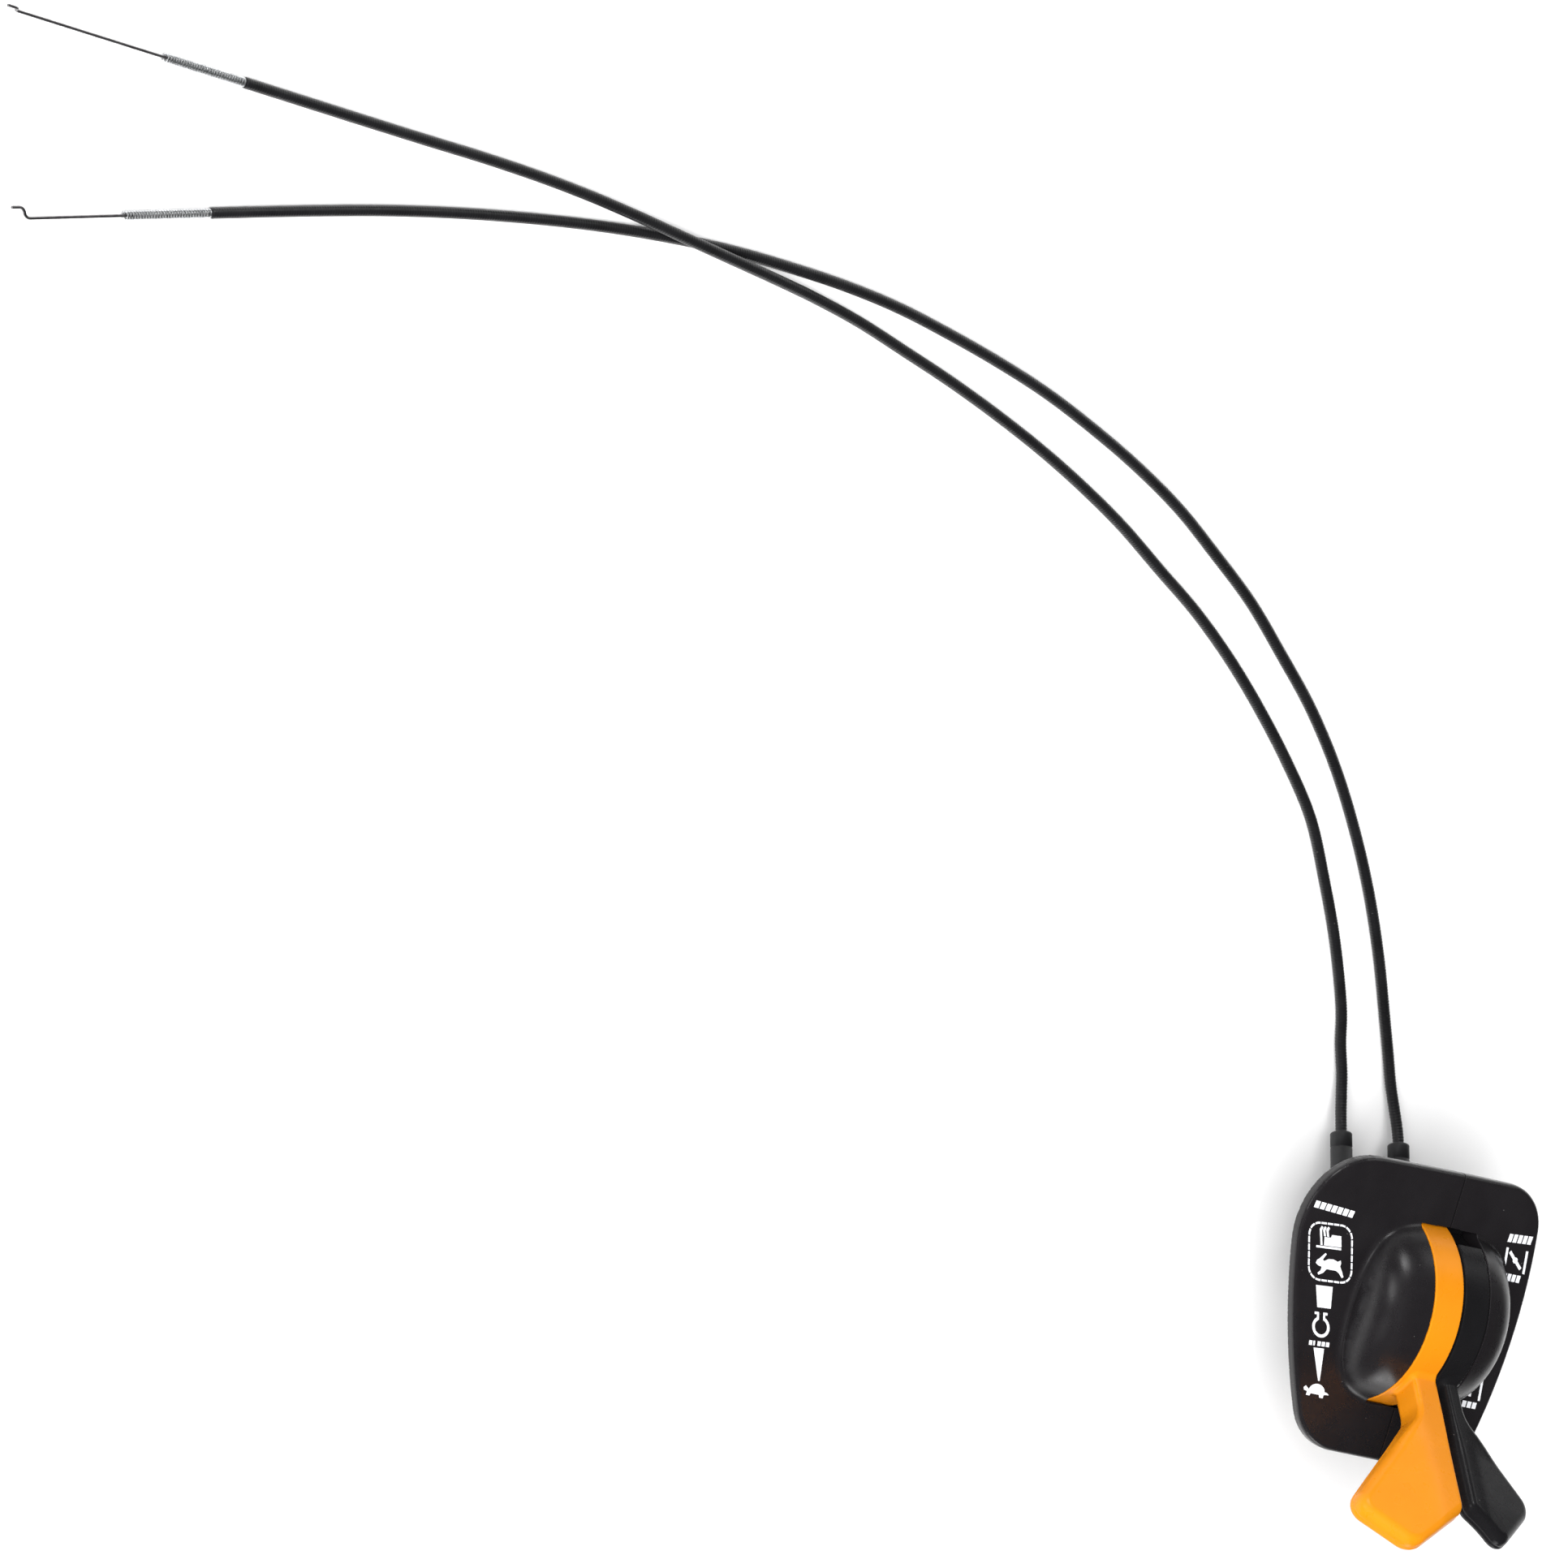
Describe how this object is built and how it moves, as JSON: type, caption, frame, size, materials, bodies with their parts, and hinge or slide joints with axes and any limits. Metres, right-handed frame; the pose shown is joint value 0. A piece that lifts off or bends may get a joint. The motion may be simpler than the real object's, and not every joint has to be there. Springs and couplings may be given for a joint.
{
  "type": "dual lever throttle and choke control",
  "caption": "Panel control with an orange throttle lever and a black choke lever on one pivot, each pulling the wire of its own Bowden cable.",
  "frame": {"origin": "centre of the four panel screws, on the plane of the panel's face", "axes": "+Z out of the panel through the plate, +Y towards the cables, +X along the pivot towards the choke lever"},
  "size_m": [0.8784, 0.4731, 0.1492],
  "materials": {
    "housing_plastic": "satin moulded plastic",
    "orange_plastic": "glossy moulded plastic",
    "black_plastic": "semi-gloss moulded plastic",
    "zinc_steel": "zinc plated",
    "ferrule_plastic": "matte",
    "conduit_jacket": "semi-gloss jacket over a steel coil",
    "coil_steel": "bare wound steel",
    "wire_steel": "dull drawn steel",
    "legend_print": "white print"
  },
  "bodies": {
    "housing": {"housing_left": "housing_plastic", "housing_right": "housing_plastic", "pivot_bolt": "zinc_steel", "pivot_nut": "zinc_steel", "pivot_washers": "zinc_steel", "pivot_sleeve": "zinc_steel", "divider_plate": "zinc_steel", "throttle_friction_washer": "zinc_steel", "choke_friction_washer": "zinc_steel", "housing_screws": "zinc_steel", "throttle_ferrule": "ferrule_plastic", "choke_ferrule": "ferrule_plastic", "throttle_conduit": "conduit_jacket", "choke_conduit": "conduit_jacket", "throttle_coil_end": "coil_steel", "choke_coil_end": "coil_steel"},
    "throttle_lever": {"throttle_lever": "orange_plastic"},
    "choke_lever": {"choke_lever": "black_plastic"},
    "throttle_wire_head": {"throttle_wire_head": "wire_steel"},
    "choke_wire_head": {"choke_wire_head": "wire_steel"},
    "throttle_wire_end": {"throttle_wire_end": "wire_steel"},
    "choke_wire_end": {"choke_wire_end": "wire_steel"}
  },
  "joints": [
    {"name": "throttle_lever_hinge", "type": "hinge", "parent": "housing", "child": "throttle_lever", "pos_m": [0, 0, -0.011], "axis": [-1, 0, 0], "range_deg": [0, 80]},
    {"name": "throttle_wire_pull", "type": "slide", "parent": "housing", "child": "throttle_wire_head", "axis": [0, -0.8829, 0.4695], "range_m": [0, 0.0206]},
    {"name": "throttle_wire_end_pull", "type": "slide", "parent": "housing", "child": "throttle_wire_end", "axis": [0.9976, -0.0698, 0], "range_m": [0, 0.0206]},
    {"name": "choke_lever_hinge", "type": "hinge", "parent": "housing", "child": "choke_lever", "pos_m": [0, 0, -0.011], "axis": [-1, 0, 0], "range_deg": [0, 80]},
    {"name": "choke_wire_pull", "type": "slide", "parent": "housing", "child": "choke_wire_head", "axis": [0, -0.8829, 0.4695], "range_m": [0, 0.0206]},
    {"name": "choke_wire_end_pull", "type": "slide", "parent": "housing", "child": "choke_wire_end", "axis": [0.9799, 0.1994, 0], "range_m": [0, 0.0206]}
  ],
  "couplings": [
    {"joint": "throttle_wire_pull", "follows": "throttle_lever_hinge", "m_per_rad": 0.01475},
    {"joint": "throttle_wire_end_pull", "follows": "throttle_lever_hinge", "m_per_rad": 0.01475},
    {"joint": "choke_wire_pull", "follows": "choke_lever_hinge", "m_per_rad": 0.01475},
    {"joint": "choke_wire_end_pull", "follows": "choke_lever_hinge", "m_per_rad": 0.01475}
  ]
}
